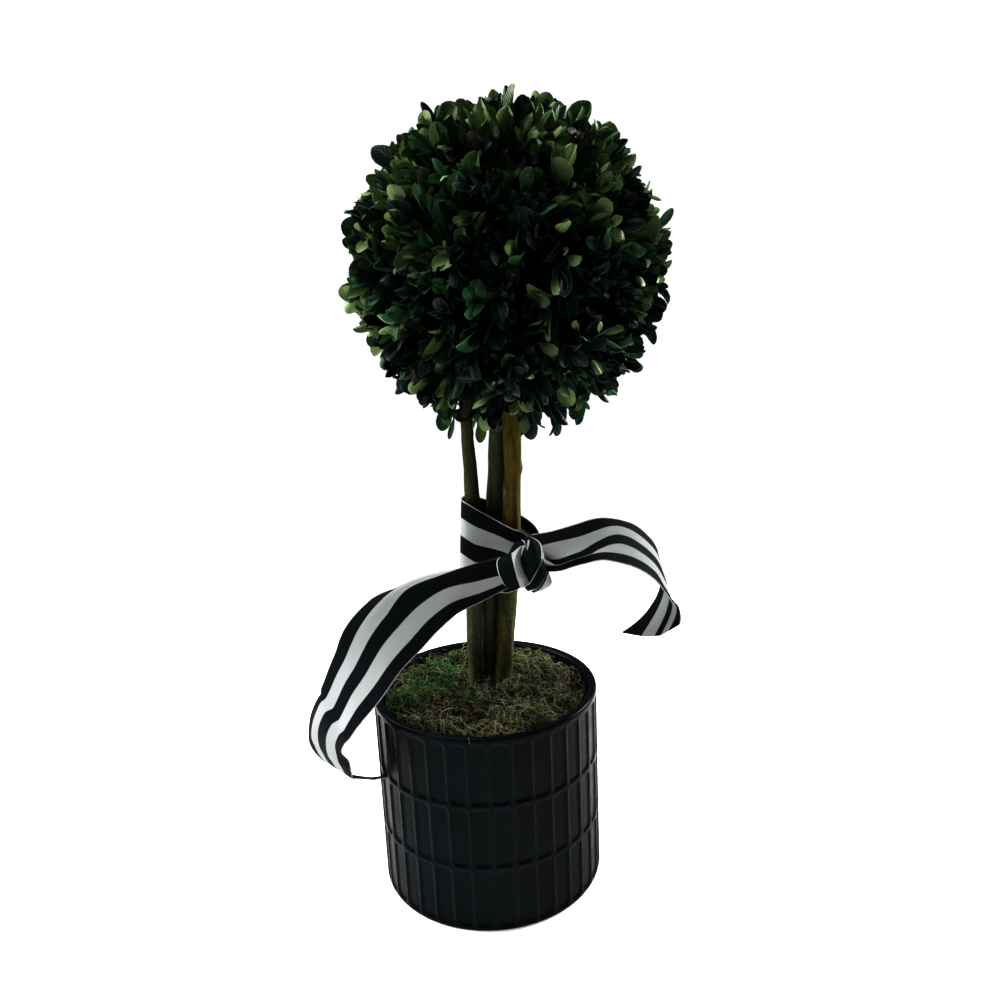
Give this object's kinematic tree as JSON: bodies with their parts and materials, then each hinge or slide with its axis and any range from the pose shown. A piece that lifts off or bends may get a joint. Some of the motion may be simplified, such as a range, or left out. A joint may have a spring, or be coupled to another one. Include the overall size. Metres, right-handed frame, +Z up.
{
  "type": "preserved box topiary ball in a fluted pot",
  "caption": "Clipped ball of preserved box leaves on slender stems in a round fluted black ceramic pot, with moss and a tied striped ribbon; a decorative potted plant.",
  "frame": {"origin": "centre of the pot's flat underside", "axes": "+Z up along the pot's axis; the ribbon's knot faces -Y and its longer tail falls towards -X"},
  "size_m": [0.2016, 0.1616, 0.4136],
  "materials": {
    "glazed_pot": "black glaze, satin gloss",
    "planting_fill": "hidden fill under the moss",
    "moss": "dried curly moss, olive and brown",
    "bark_dark": "smooth grey-olive bark, mottled",
    "bark_olive": "smooth yellow-olive bark",
    "foliage": "dense box leaves, dark green with olive and brown ones",
    "ribbon": "woven black and white stripes"
  },
  "bodies": {
    "root": {"pot": "glazed_pot", "pot_fill": "planting_fill", "moss": "moss", "stem_left": "bark_dark", "stem_middle": "bark_dark", "stem_right": "bark_olive", "foliage_ball": "foliage", "ribbon_wrap": "ribbon", "ribbon_knot": "ribbon", "ribbon_tail_left_upper": "ribbon", "ribbon_tail_left_lower": "ribbon", "ribbon_tail_left_end": "ribbon", "ribbon_tail_right_upper": "ribbon", "ribbon_tail_right_lower": "ribbon"}
  },
  "joints": []
}
